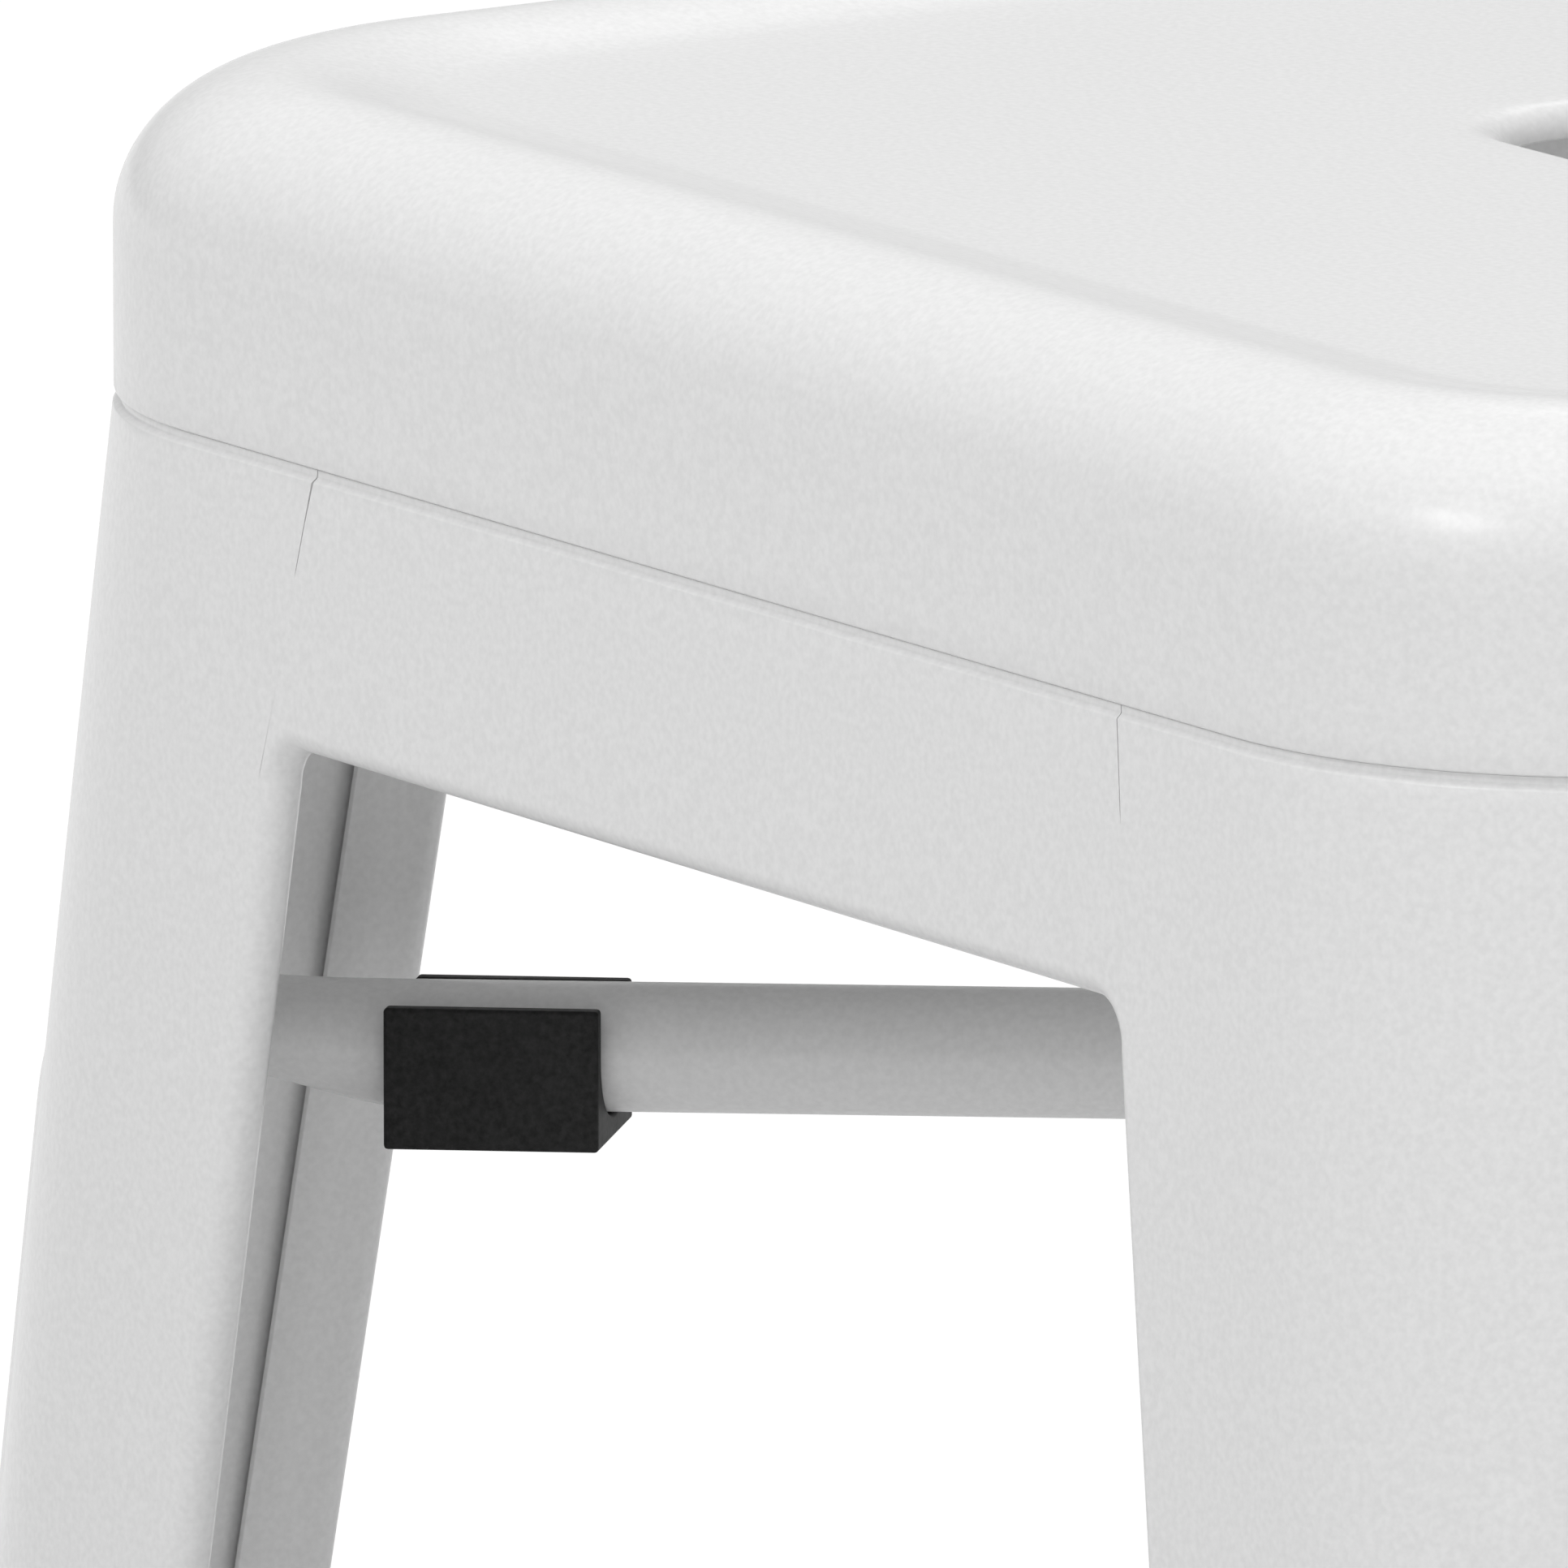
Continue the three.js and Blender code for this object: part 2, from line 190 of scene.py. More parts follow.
# Each softbox: its direction from the seat, distance, size and power in watts
KEY = ((0.148, -0.748, 0.647), 2.2, (0.5, 0.3), 7.5)
REAR = ((-0.55, 0.54, 0.63), 2.5, (1.0, 0.5), 2.2)
CAMERA_AZIMUTH = 56.27 * pi / 180
CAMERA_ELEVATION = 11.56 * pi / 180
CAMERA_DISTANCE = 3.67617
CAMERA_FAR = 200
CAMERA_SENSOR = 36
CAMERA_LENS = 743.4
AIM_RIGHT = -0.118917
AIM_UP = -0.039226


def lerp(a, b, t):
    return a + (b - a) * t


def clamp(t):
    return min(1.0, max(0.0, t))


def smooth(t):
    t = clamp(t)
    return t * t * (3 - 2 * t)


def spread(a, b, steps):
    return [lerp(a, b, i / steps) for i in range(steps + 1)]


def arc(cx, cy, radius, start, end, steps):
    return [(cx + radius * cos(a), cy + radius * sin(a)) for a in spread(start, end, steps)]


def face_at(depth):
    """Distance of a leg's or apron's outer face from the seat's axis, at a depth below the seam."""
    return HALF + SPLAY * max(0.0, depth)


def leg_width(depth):
    return LEG_WIDTH - LEG_TAPER * depth


def leg_corner(depth):
    depth = max(0.0, depth)
    return PAN_CORNER - CORNER_FALL * depth + CORNER_EASE * depth * depth


def lip_inset(depth):
    """How far the joggled top edge and the paint-filled groove below it stand back."""
    if depth <= LIP_SHELF:
        return LIP_INSET
    return GROOVE * (1 - smooth((depth - GROOVE_FLOOR) / (LIP_TURN - GROOVE_FLOOR)))


def lip_depths():
    return [-LIP_RISE, -7, LIP_SHELF, LIP_SHELF + 0.02] + spread(-0.2, LIP_TURN, 9)


def butt_at(depth, end):
    """Edge of a sheet at the joint between leg and apron, from the middle of the side.

    The joint is open at the top and ground flush below; end is (place, slope) of that joint.
    """
    opening = 1 - smooth((depth - BUTT_OPEN + BUTT_CLOSING) / BUTT_CLOSING)
    return end[0] + end[1] * max(0.0, depth), BUTT_GAP / 2 * opening


# ---- meshes ----


def make_piece(name, vertices, faces, node, material):
    mesh = bpy.data.meshes.new(name)
    mesh.from_pydata([Vector(v) * MM for v in vertices], [], faces)
    mesh.validate()
    mesh.shade_smooth()
    mesh.set_sharp_from_angle(angle=SHARP_ANGLE)
    mesh.materials.append(material)
    piece = bpy.data.objects.new(name, mesh)
    bpy.context.scene.collection.objects.link(piece)
    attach(piece, "root")
    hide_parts(node)
    return piece


def loft(rings, closed=False):
    """Faces that join equal rings; an open stack gets an end face at each end."""
    n = len(rings[0])
    faces = []
    for k in range(len(rings) if closed else len(rings) - 1):
        a = k * n
        b = ((k + 1) % len(rings)) * n
        for i in range(n):
            j = (i + 1) % n
            faces.append((a + i, a + j, b + j, b + i))
    if not closed:
        last = (len(rings) - 1) * n
        faces.append(tuple(reversed(range(n))))
        faces.append(tuple(last + i for i in range(n)))
    return [p for ring in rings for p in ring], faces


def strip_ends(faces, n):
    """Swaps a lofted strip's two end faces for rows of quads from its outer to its inner face."""
    start, end = faces[-2], faces[-1]
    rows = []
    for ring in (start, end):
        for i in range(n // 2 - 1):
            rows.append((ring[i], ring[i + 1], ring[n - 2 - i], ring[n - 1 - i]))
    return faces[:-2] + rows


def volume(vertices, faces):
    total = 0.0
    for face in faces:
        a = Vector(vertices[face[0]])
        for i in range(1, len(face) - 1):
            total += a.dot(Vector(vertices[face[i]]).cross(Vector(vertices[face[i + 1]])))
    return total


def outward(vertices, faces):
    if volume(vertices, faces) < 0:
        faces = [tuple(reversed(face)) for face in faces]
    return vertices, faces


def strip(path, rounded=True):
    """Outline of bent sheet round a middle line, with rounded or square free edges."""
    left, right = [], []
    half = SHEET / 2
    last = len(path) - 1
    for i, (x, y) in enumerate(path):
        before = Vector(path[max(0, i - 1)])
        after = Vector(path[min(last, i + 1)])
        here = Vector((x, y))
        a = (here - before).normalized() if i else (after - here).normalized()
        b = (after - here).normalized() if i < last else a
        along = (a + b).normalized()
        reach = half / max(0.5, along.dot(b))
        left.append((x - along.y * reach, y + along.x * reach))
        right.append((x + along.y * reach, y - along.x * reach))

    def edge(index, other):
        if not rounded:
            return []
        tip = Vector(path[index])
        away = (tip - Vector(path[other])).normalized()
        side = Vector((-away.y, away.x))
        return [tuple(tip + half * (away * sin(t) + side * cos(t))) for t in EDGE_TURNS]

    return left + edge(last, last - 1) + right[::-1] + edge(0, 1)


def turned(vertices, quarter):
    """Turns points about +Z by quarters of a turn."""
    c, s = [(1, 0), (0, 1), (-1, 0), (0, -1)][quarter]
    return [(x * c - y * s, x * s + y * c, z) for x, y, z in vertices]


# ---- materials ----


def material_base(name):
    material = bpy.data.materials.new(name)
    material.use_nodes = True
    nodes = material.node_tree.nodes
    return material, nodes, material.node_tree.links, nodes["Principled BSDF"]


def noise(nodes, links, coords, scale, detail=2.0, rough=0.5):
    node = nodes.new("ShaderNodeTexNoise")
    node.inputs["Scale"].default_value = scale
    node.inputs["Detail"].default_value = detail
    node.inputs["Roughness"].default_value = rough
    links.new(coords.outputs["Object"], node.inputs["Vector"])
    return node


def ramp(nodes, links, source, low, high, low_at=0.3, high_at=0.7):
    """Takes a source from low_at..high_at to low..high."""
    node = nodes.new("ShaderNodeMapRange")
    node.inputs["From Min"].default_value = low_at
    node.inputs["From Max"].default_value = high_at
    node.inputs["To Min"].default_value = low
    node.inputs["To Max"].default_value = high
    links.new(source, node.inputs["Value"])
    return node.outputs["Result"]


def bump(nodes, links, layers, shader):
    """Stacks (height, distance in metres) layers into the shader's normal."""
    previous = None
    for height, distance in layers:
        node = nodes.new("ShaderNodeBump")
        node.inputs["Distance"].default_value = distance
        links.new(height, node.inputs["Height"])
        if previous:
            links.new(previous.outputs["Normal"], node.inputs["Normal"])
        previous = node
    links.new(previous.outputs["Normal"], shader.inputs["Normal"])


def tint(nodes, links, factor, dark, light):
    node = nodes.new("ShaderNodeMix")
    node.data_type = "RGBA"
    node.inputs["A"].default_value = (*dark, 1)
    node.inputs["B"].default_value = (*light, 1)
    links.new(factor, node.inputs["Factor"])
    return node.outputs["Result"]


def powder_coat():
    """White semi-gloss powder coat: grained tone, faint orange peel and a drift in the gloss."""
    material, nodes, links, shader = material_base("powder_coat_white")
    coords = nodes.new("ShaderNodeTexCoord")
    peel = noise(nodes, links, coords, COAT_PEEL_CELLS, rough=0.45)
    grain = noise(nodes, links, coords, COAT_GRAIN_CELLS)
    drift = noise(nodes, links, coords, COAT_DRIFT_CELLS)
    tone = ramp(nodes, links, grain.outputs["Fac"], 0.0, 1.0)
    links.new(tint(nodes, links, tone, COAT_DARK, COAT_LIGHT), shader.inputs["Base Color"])
    gloss = ramp(nodes, links, drift.outputs["Fac"], *COAT_ROUGHNESS, low_at=0.0, high_at=1.0)
    links.new(gloss, shader.inputs["Roughness"])
    layers = [(peel.outputs["Fac"], COAT_PEEL_HEIGHT), (grain.outputs["Fac"], COAT_GRAIN_HEIGHT)]
    bump(nodes, links, layers, shader)
    shader.inputs["Specular IOR Level"].default_value = COAT_SPECULAR
    return material


def pad_plastic():
    """Black moulded plastic with a fine spark-eroded texture and dull rubbed patches."""
    material, nodes, links, shader = material_base("pad_plastic_black")
    coords = nodes.new("ShaderNodeTexCoord")
    texture = noise(nodes, links, coords, PLASTIC_GRAIN_CELLS, detail=3.0, rough=0.6)
    rub = noise(nodes, links, coords, PLASTIC_RUB_CELLS, detail=3.0, rough=0.6)
    tone = ramp(nodes, links, texture.outputs["Fac"], 0.0, 1.0)
    links.new(tint(nodes, links, tone, PLASTIC_DARK, PLASTIC_LIGHT), shader.inputs["Base Color"])
    gloss = ramp(nodes, links, rub.outputs["Fac"], *PLASTIC_ROUGHNESS, low_at=0.0, high_at=1.0)
    links.new(gloss, shader.inputs["Roughness"])
    bump(nodes, links, [(texture.outputs["Fac"], PLASTIC_GRAIN_HEIGHT)], shader)
    shader.inputs["Specular IOR Level"].default_value = PLASTIC_SPECULAR
    return material


def foot_rubber():
    """Dark rubber with a mottled bloom and a fine pebbled surface."""
    material, nodes, links, shader = material_base("foot_rubber_black")
    coords = nodes.new("ShaderNodeTexCoord")
    pebble = nodes.new("ShaderNodeTexVoronoi")
    pebble.inputs["Scale"].default_value = RUBBER_PEBBLE_CELLS
    links.new(coords.outputs["Object"], pebble.inputs["Vector"])
    bloom = noise(nodes, links, coords, RUBBER_BLOOM_CELLS, detail=4.0, rough=0.65)
    tone = ramp(nodes, links, bloom.outputs["Fac"], 0.0, 1.0)
    links.new(tint(nodes, links, tone, RUBBER_DARK, RUBBER_LIGHT), shader.inputs["Base Color"])
    gloss = ramp(nodes, links, bloom.outputs["Fac"], *RUBBER_ROUGHNESS)
    links.new(gloss, shader.inputs["Roughness"])
    bump(nodes, links, [(pebble.outputs["Distance"], RUBBER_PEBBLE_HEIGHT)], shader)
    return material


coat = powder_coat()
plastic = pad_plastic()
rubber = foot_rubber()


# ---- seat pan ----


def square_ring(half, radius, z, steps=26):
    """Square outline with rounded corners."""
    c = half - radius
    ring = []
    for quarter, (sx, sy) in enumerate(((1, 1), (-1, 1), (-1, -1), (1, -1))):
        start = quarter * pi / 2
        ring += [(x, y, z) for x, y in arc(sx * c, sy * c, radius, start, start + pi / 2, steps)]
    return ring


def pan_corner(inset):
    """Corner radius of the pan at an inset from its outer face."""
    edge = lerp(PAN_CORNER, DISH_CORNER, clamp(inset / DISH_INSET))
    return lerp(edge, HOLE_CORNER, clamp((inset - DISH_INSET) / (HALF - HOLE_HALF - DISH_INSET)))


def pan_path():
    """Middle line of the pan's sheet, as inset and height above the seam."""
    half = SHEET / 2
    crown = RIM_RISE - half
    path = [(half, SEAM_GAP + half), (half, 4), (half, 12), (half, RIM_RISE - RIM_RADIUS - 1)]
    path += arc(RIM_RADIUS, RIM_RISE - RIM_RADIUS, RIM_RADIUS - half, pi, pi / 2, 24)
    for t in spread(0, 1, 22)[1:]:
        path.append((lerp(RIM_RADIUS, DISH_INSET, t), crown - DISH_DROP * smooth(t)))
    lip = HALF - HOLE_HALF - HOLE_LIP
    dish = crown - DISH_DROP
    path += [(lerp(DISH_INSET, lip, t), dish) for t in (0.1, 0.35, 0.6, 0.85, 0.97)]
    path += arc(lip, dish - HOLE_LIP + half, HOLE_LIP - half, pi / 2, 0, 10)
    return path


def seat_pan():
    rings = []
    for inset, rise in strip(pan_path()):
        rings.append(square_ring(HALF - inset, pan_corner(inset), SEAM + rise))
    vertices, faces = outward(*loft(rings, closed=True))
    make_piece("seat_pan_sheet", vertices, faces, "seat_pan", coat)


# ---- legs ----


def corner_arc(depth, grow, steps=26):
    """Half of the outer corner, from the flat face to the corner's middle, with its bead."""
    corner = leg_corner(depth)
    bead = BEAD_HEIGHT * smooth((depth - BEAD_START) / (BEAD_FULL - BEAD_START))
    points = []
    for t in spread(1, 0, steps):
        from_middle = pi / 4 * t * (CORNER_CROWDING + (1 - CORNER_CROWDING) * t)
        share = min(1.0, from_middle * corner / BEAD_HALF_WIDTH)
        radius = corner + grow + bead * (0.5 + 0.5 * cos(share * pi))
        turn = pi / 4 - from_middle
        points.append((corner - radius * sin(turn), corner - radius * cos(turn)))
    return points


def leg_outline(depth, edges, inset):
    """Folded section in the leg's own frame: outer corner at the origin, faces along +x and +y."""
    half = SHEET / 2
    corner = leg_corner(depth)
    limbs = []
    for edge in edges:
        flat = [(lerp(edge[-1][0], corner, t), half) for t in (0.25, 0.5, 0.75)]
        limbs.append(edge + flat)
    middle = corner_arc(depth, -half)
    middle += [(v, u) for u, v in middle[:-1]][::-1]
    path = limbs[0] + middle + [(v, u) for u, v in limbs[1]][::-1]
    return [(u + inset, v + inset) for u, v in strip(path, rounded=len(edges[0]) > 1)]


def plain_edges(depth, inset):
    """The sheet's two edges where they butt against the aprons."""
    edges = []
    for end in (BUTT_LEFT, BUTT_RIGHT):
        at, gap = butt_at(depth, end)
        edges.append([(face_at(depth) - at - gap - inset, SHEET / 2)])
    return edges


def hem_edges(depth, _):
    """The sheet's two edges where they are folded inwards, free edge first."""
    half = SHEET / 2
    width = leg_width(depth)
    fold = arc(width - HEM_RADIUS, HEM_RADIUS, HEM_RADIUS - half, HEM_FOLD, -pi / 2, 18)
    tip = (width - HEM_LENGTH + half, SHEET + HEM_SLIT + half)
    edge = [tip, (lerp(tip[0], fold[0][0], 0.5), lerp(tip[1], fold[0][1], 0.5))] + fold
    return [edge, edge]


def leg_rings(depths, edges_of):
    rings = []
    for depth in depths:
        inset = lip_inset(depth)
        face = face_at(depth)
        outline = leg_outline(depth, edges_of(depth, inset), inset)
        rings.append([(u - face, v - face, SEAM - depth) for u, v in outline])
    return rings


def leg_mesh():
    """A collar with plain edges butted to the aprons, and below it the shaft with its hems."""
    bottom = SEAM - FOOT_FLOOR - GAP
    # Rows are closest together at the lip, where the joint closes and where the bead starts
    top = lip_depths() + [3, 6, 9, 11, BUTT_OPEN, 16, 20, 30, HEM_TOP]
    shaft = [HEM_TOP, 40, 46, 56, 66] + spread(BEAD_START, BEAD_FULL, 8) + spread(95, bottom, 26)
    collar_points, collar_faces = outward(*loft(leg_rings(top, plain_edges)))
    shaft_points, shaft_faces = outward(*loft(leg_rings(shaft, hem_edges)))
    offset = len(collar_points)
    moved = [tuple(i + offset for i in face) for face in shaft_faces]
    return collar_points + shaft_points, collar_faces + moved


# ---- aprons ----


def apron_half(sign, end):
    """Stations from the middle to one end: lower edge, way up the plate, top, end share."""
    centre = face_at(HEM_TOP) - leg_width(HEM_TOP) - APRON_FILLET
    crown = min(centre, end[0] - APRON_CROWN_MARGIN)
    stations = []
    for t in spread(0, 1, 8)[:-1]:
        stations.append(((sign * t * centre, APRON_DEPTH), (0, -1), sign * t * crown, 0.0))
    for t in spread(0, 1, 16):
        turn = t * pi / 2
        edge = (sign * (centre + APRON_FILLET * sin(turn)), HEM_TOP - APRON_FILLET * cos(turn))
        stations.append((edge, (sign * sin(turn), -cos(turn)), sign * lerp(crown, end[0], t), t))
    return stations


def apron_section(edge, up, top_x, share, end):
    """A cross-section as (across, depth, inset): down the outer face, back up the inner one."""
    flat = (edge[0] + up[0] * APRON_BEND, edge[1] + up[1] * APRON_BEND)
    outer = [(top_x, d, lip_inset(d)) for d in lip_depths()]
    inner = [(top_x, d, lip_inset(d) + SHEET) for d in lip_depths()]
    for t, level in APRON_ROWS:
        at = (lerp(top_x, flat[0], t), lerp(LIP_TURN, flat[1], t))
        if share == 1 and level:
            at = (up[0] * butt_at(level, end)[0], level)
        outer.append((*at, 0.0))
        inner.append((*at, SHEET))
    for turn in spread(0, pi, 20)[1:]:
        for side, radius in ((outer, APRON_BEND), (inner, APRON_BEND - SHEET)):
            back = APRON_BEND - radius * sin(turn)
            inset = APRON_BEND - radius * cos(turn)
            if turn > pi / 2:
                back = lerp(APRON_BEND - radius, back, smooth(share))
                inset = lerp(APRON_BEND * (1 + (turn - pi / 2) * 2 / pi), inset, smooth(share))
            side.append((edge[0] + up[0] * back, edge[1] + up[1] * back, inset))
    return outer + inner[::-1]


def apron_mesh():
    stations = [(*s, BUTT_LEFT) for s in apron_half(-1, BUTT_LEFT)[:0:-1]]
    stations += [(*s, BUTT_RIGHT) for s in apron_half(1, BUTT_RIGHT)]
    rings = []
    for station in stations:
        ring = []
        for x, depth, inset in apron_section(*station):
            left, left_gap = butt_at(depth, BUTT_LEFT)
            right, right_gap = butt_at(depth, BUTT_RIGHT)
            # The plate stops at the joint; only the rolled edge below it runs on
            if inset <= SHEET + LIP_INSET:
                x = max(left_gap - left, min(right - right_gap, x))
            ring.append((x, inset - face_at(depth), SEAM - depth))
        rings.append(ring)
    vertices, faces = loft(rings)
    return outward(vertices, strip_ends(faces, len(rings[0])))


# ---- braces and their pads ----


def brace_z(distance, side):
    """Height of a brace's axis at a distance from the middle; side is 1 or -1."""
    reach = HALF * sqrt(2) - BRACE_RADIUS
    from_middle = sqrt(distance**2 + BRACE_BOW_ROUNDING**2)
    bow = BRACE_BOW * (1 - min(1.0, from_middle / (reach * BRACE_BOW_SPAN)))
    return SEAM - BRACE_DROP + side * bow + (BRACE_RADIUS - BRACE_END_FLAT) * end_pinch(distance)


def end_pinch(distance):
    """Share of the end's flattening, which lifts the underside and leaves the top line straight."""
    return smooth((abs(distance) - BRACE_PINCH_START) / BRACE_PINCH_LENGTH)


def brace_height(distance):
    """Half height of the tube, pinched where the two cross and at the legs."""
    from_flat = smooth((abs(distance) - BRACE_MID_START) / BRACE_MID_LENGTH)
    return lerp(lerp(BRACE_MID_FLAT, BRACE_RADIUS, from_flat), BRACE_END_FLAT, end_pinch(distance))


def brace_width(height):
    """Half width of the tube, which spreads where it is pressed flat."""
    return BRACE_RADIUS + (BRACE_RADIUS - height) * BRACE_WIDENING


def brace_ring(distance, side, inset):
    height = brace_height(distance)
    width = brace_width(height) - inset
    middle = brace_z(distance, side)
    ring = []
    for i in range(BRACE_SIDES):
        a = i / BRACE_SIDES * 2 * pi
        ring.append((distance, width * cos(a), middle + (height - inset) * sin(a)))
    return ring


def on_diagonal(vertices, side):
    c = sqrt(0.5)
    return [(x * c - side * y * c, side * x * c + y * c, z) for x, y, z in vertices]


def brace(name, node, side):
    low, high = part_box(node)
    reach = max(high[0], -low[0]) / MM * sqrt(2) - brace_width(BRACE_END_FLAT)
    # Stations from the leg to the middle, closest together at the pinched end and at the crossing
    stops = spread(reach, 184, 3) + spread(181, 165, 10)
    stops += spread(150, 40, 8) + spread(30, 8, 12) + [5, 2, 0]
    stations = [-s for s in stops] + stops[-2::-1]
    rings = [brace_ring(s, side, 0) for s in stations]
    rings += [brace_ring(s, side, BRACE_WALL) for s in stations[::-1]]
    vertices, faces = loft(rings, closed=True)
    vertices, faces = outward(on_diagonal(vertices, side), faces)
    make_piece(name, vertices, faces, node, coat)


def pad_mesh(side):
    """Saddle that wraps the underside and both sides of a brace, open above."""
    inner = BRACE_RADIUS + GAP
    profile = [(-PAD_HALF_WIDTH, PAD_ABOVE), (-PAD_HALF_WIDTH, -PAD_BELOW)]
    profile += [(PAD_HALF_WIDTH, -PAD_BELOW), (PAD_HALF_WIDTH, PAD_ABOVE), (inner, PAD_ABOVE)]
    profile += arc(0, 0, inner, 0, -pi, 28) + [(-inner, PAD_ABOVE)]
    rings = []
    for end in (-0.5, 0.5):
        distance = -(PAD_CENTRE + end * PAD_LENGTH)
        rings.append([(distance, across, brace_z(distance, side) + up) for across, up in profile])
    vertices, faces = loft(rings)
    return outward(on_diagonal(vertices, 1), faces)


# ---- feet ----


def foot_outline(depth, grow):
    """Outline of the space that a leg's lower end fills, grown by a margin."""
    width = leg_width(depth) + grow
    reach = 2 * HEM_RADIUS + grow
    half = [(width, reach), (width, -grow)] + corner_arc(depth, grow, 16)
    return half + [(v, u) for u, v in half[:-1]][::-1]


def foot_mesh():
    """Boot with a pocket for the leg; depths run down, so the floor is the deepest."""
    rings = []
    rim = SEAM - FOOT_HEIGHT
    for depth, grow in ((SEAM, FOOT_WALL), (rim, FOOT_WALL), (rim, GAP), (SEAM - FOOT_FLOOR, GAP)):
        face = face_at(depth)
        rings.append([(u - face, v - face, SEAM - depth) for u, v in foot_outline(depth, grow)])
    return outward(*loft(rings))


def bevel(piece, width, segments=3):
    modifier = piece.modifiers.new("edges", "BEVEL")
    modifier.width = width * MM
    modifier.segments = segments
    modifier.limit_method = "ANGLE"
    modifier.angle_limit = BEVEL_ANGLE
    modifier.harden_normals = True


# ---- assembly ----

seat_pan()
leg_points, leg_faces = leg_mesh()
apron_points, apron_faces = apron_mesh()
foot_points, foot_faces = foot_mesh()
for quarter, corner in enumerate(("front_left", "front_right", "rear_right", "rear_left")):
    points = turned(leg_points, quarter)
    make_piece(f"leg_sheet_{corner}", points, leg_faces, f"leg_{corner}", coat)
    pad_points, pad_faces = pad_mesh(1 if quarter % 2 == 0 else -1)
    points = turned(pad_points, quarter)
    node = f"stack_pad_{corner}"
    pad = make_piece(f"pad_{corner}", points, pad_faces, node, plastic)
    bevel(pad, PAD_BEVEL)
    points = turned(foot_points, quarter)
    boot = make_piece(f"boot_{corner}", points, foot_faces, f"foot_{corner}", rubber)
    bevel(boot, FOOT_BEVEL)
for quarter, side in enumerate(("front", "right", "rear", "left")):
    points = turned(apron_points, quarter)
    make_piece(f"apron_sheet_{side}", points, apron_faces, f"apron_{side}", coat)
brace("brace_tube_upper", "brace_upper", 1)
brace("brace_tube_lower", "brace_lower", -1)


# ---- stage, light and camera ----


def floor():
    """A pale floor that glows: painted shadow near the stool, where it glows dimmer, and painted
    light glowing whiter further out and on its bright side.
    """
    mesh = bpy.data.meshes.new("floor")
    r = FLOOR_REACH
    mesh.from_pydata([(-r, -r, 0), (r, -r, 0), (r, r, 0), (-r, r, 0)], [], [(0, 1, 2, 3)])
    material, nodes, links, shader = material_base("floor_painted_glow_and_shadow")
    coords = nodes.new("ShaderNodeTexCoord")
    distance = nodes.new("ShaderNodeVectorMath")
    distance.operation = "LENGTH"
    links.new(coords.outputs["Object"], distance.inputs[0])
    away = distance.outputs["Value"]
    # Painted shadow pool: the floor glows least near the stool, more further out
    painted_glow = ramp(nodes, links, away, FLOOR_PAINTED_SHADOW_GLOW, FLOOR_PAINTED_FAR_GLOW, FLOOR_PAINTED_SHADOW_EDGE, FLOOR_PAINTED_GLOW_START)
    painted_glow.node.interpolation_type = "SMOOTHSTEP"
    along = nodes.new("ShaderNodeVectorMath")
    along.operation = "DOT_PRODUCT"
    links.new(coords.outputs["Object"], along.inputs[0])
    along.inputs[1].default_value = FLOOR_PAINTED_GLOW_WAY
    toward_painted_glow = along.outputs["Value"]
    # Painted light: extra glow on one side of the floor, which lights the stool from that side
    side = ramp(nodes, links, toward_painted_glow, 0.0, FLOOR_PAINTED_SIDE_GLOW, FLOOR_PAINTED_SIDE_GLOW_FROM, FLOOR_PAINTED_SIDE_GLOW_TO)
    links.new(node_math(nodes, links, "ADD", painted_glow, side), shader.inputs["Emission Strength"])
    shader.inputs["Emission Color"].default_value = (1, 1, 1, 1)
    shader.inputs["Base Color"].default_value = (FLOOR_TONE, FLOOR_TONE, FLOOR_TONE, 1)
    shader.inputs["Roughness"].default_value = FLOOR_ROUGHNESS
    shader.inputs["Specular IOR Level"].default_value = 0.0
    mesh.materials.append(material)
    plane = bpy.data.objects.new("floor", mesh)
    bpy.context.scene.collection.objects.link(plane)


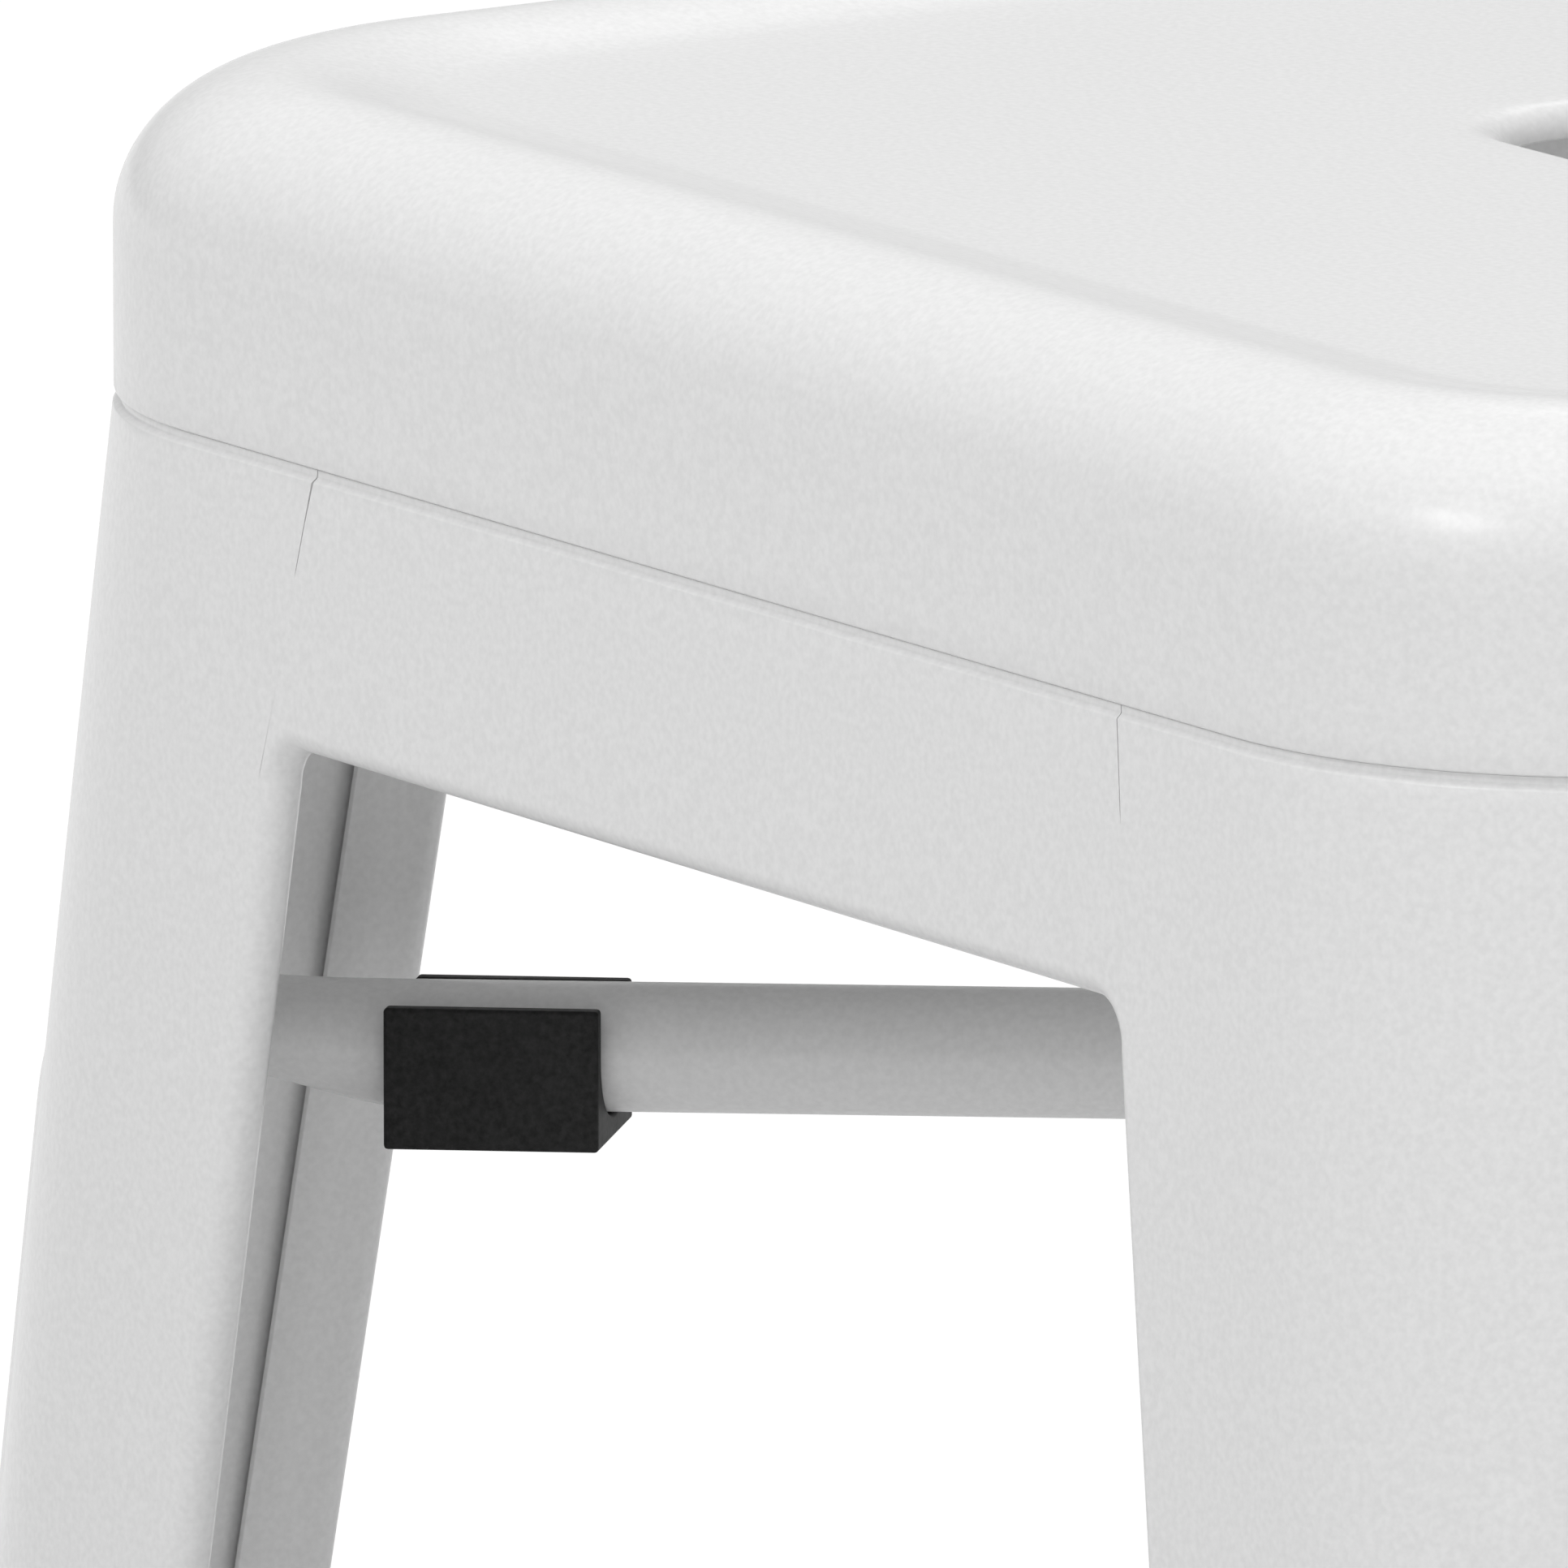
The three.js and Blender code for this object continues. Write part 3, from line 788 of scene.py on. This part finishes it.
def softbox(name, direction, distance, size, power):
    lamp = bpy.data.lights.new(name, "AREA")
    lamp.shape = "RECTANGLE"
    lamp.size, lamp.size_y = size
    lamp.energy = power
    holder = bpy.data.objects.new(name, lamp)
    away = Vector(direction).normalized()
    holder.location = SEAT + away * distance
    holder.rotation_euler = away.to_track_quat("Z", "Y").to_euler()
    bpy.context.scene.collection.objects.link(holder)


def camera():
    right = Vector((cos(CAMERA_AZIMUTH), sin(CAMERA_AZIMUTH), 0))
    level = Vector((sin(CAMERA_AZIMUTH), -cos(CAMERA_AZIMUTH), 0))
    back = level * cos(CAMERA_ELEVATION) + Vector((0, 0, sin(CAMERA_ELEVATION)))
    up = back.cross(right)
    aim = SEAT + right * AIM_RIGHT + up * AIM_UP
    data = bpy.data.cameras.new("camera")
    data.sensor_width = CAMERA_SENSOR
    data.lens = CAMERA_LENS
    data.clip_end = CAMERA_FAR
    eye = bpy.data.objects.new("camera", data)
    turn = Matrix((right, up, back)).transposed().to_4x4()
    eye.matrix_world = Matrix.Translation(aim + back * CAMERA_DISTANCE) @ turn
    bpy.context.scene.collection.objects.link(eye)
    bpy.context.scene.camera = eye


def studio():
    """Soft room light: dim at the horizon, bright overhead, with a broad fill from each side."""
    world = bpy.data.worlds.new("studio")
    world.use_nodes = True
    nodes, links = world.node_tree.nodes, world.node_tree.links
    direction = nodes.new("ShaderNodeTexCoord").outputs["Generated"]
    total = None
    for way, power, strength in ROOM_LIGHT:
        facing = nodes.new("ShaderNodeVectorMath")
        facing.operation = "DOT_PRODUCT"
        links.new(direction, facing.inputs[0])
        facing.inputs[1].default_value = Vector(way).normalized()
        lit = node_math(nodes, links, "MAXIMUM", facing.outputs["Value"], 0.0)
        lobe = node_math(nodes, links, "POWER", lit, power)
        total = node_math(nodes, links, "MULTIPLY_ADD", lobe, strength, total or ROOM_BASE)
    background = nodes["Background"]
    background.inputs["Color"].default_value = (1, 1, 1, 1)
    links.new(total, background.inputs["Strength"])
    bpy.context.scene.world = world


def node_math(nodes, links, operation, *values):
    node = nodes.new("ShaderNodeMath")
    node.operation = operation
    for socket, value in zip(node.inputs, values):
        if isinstance(value, (int, float)):
            socket.default_value = value
        else:
            links.new(value, socket)
    return node.outputs[0]


floor()
softbox("key", *KEY)
softbox("rear", *REAR)
studio()
camera()
bpy.context.scene.view_settings.view_transform = "Standard"
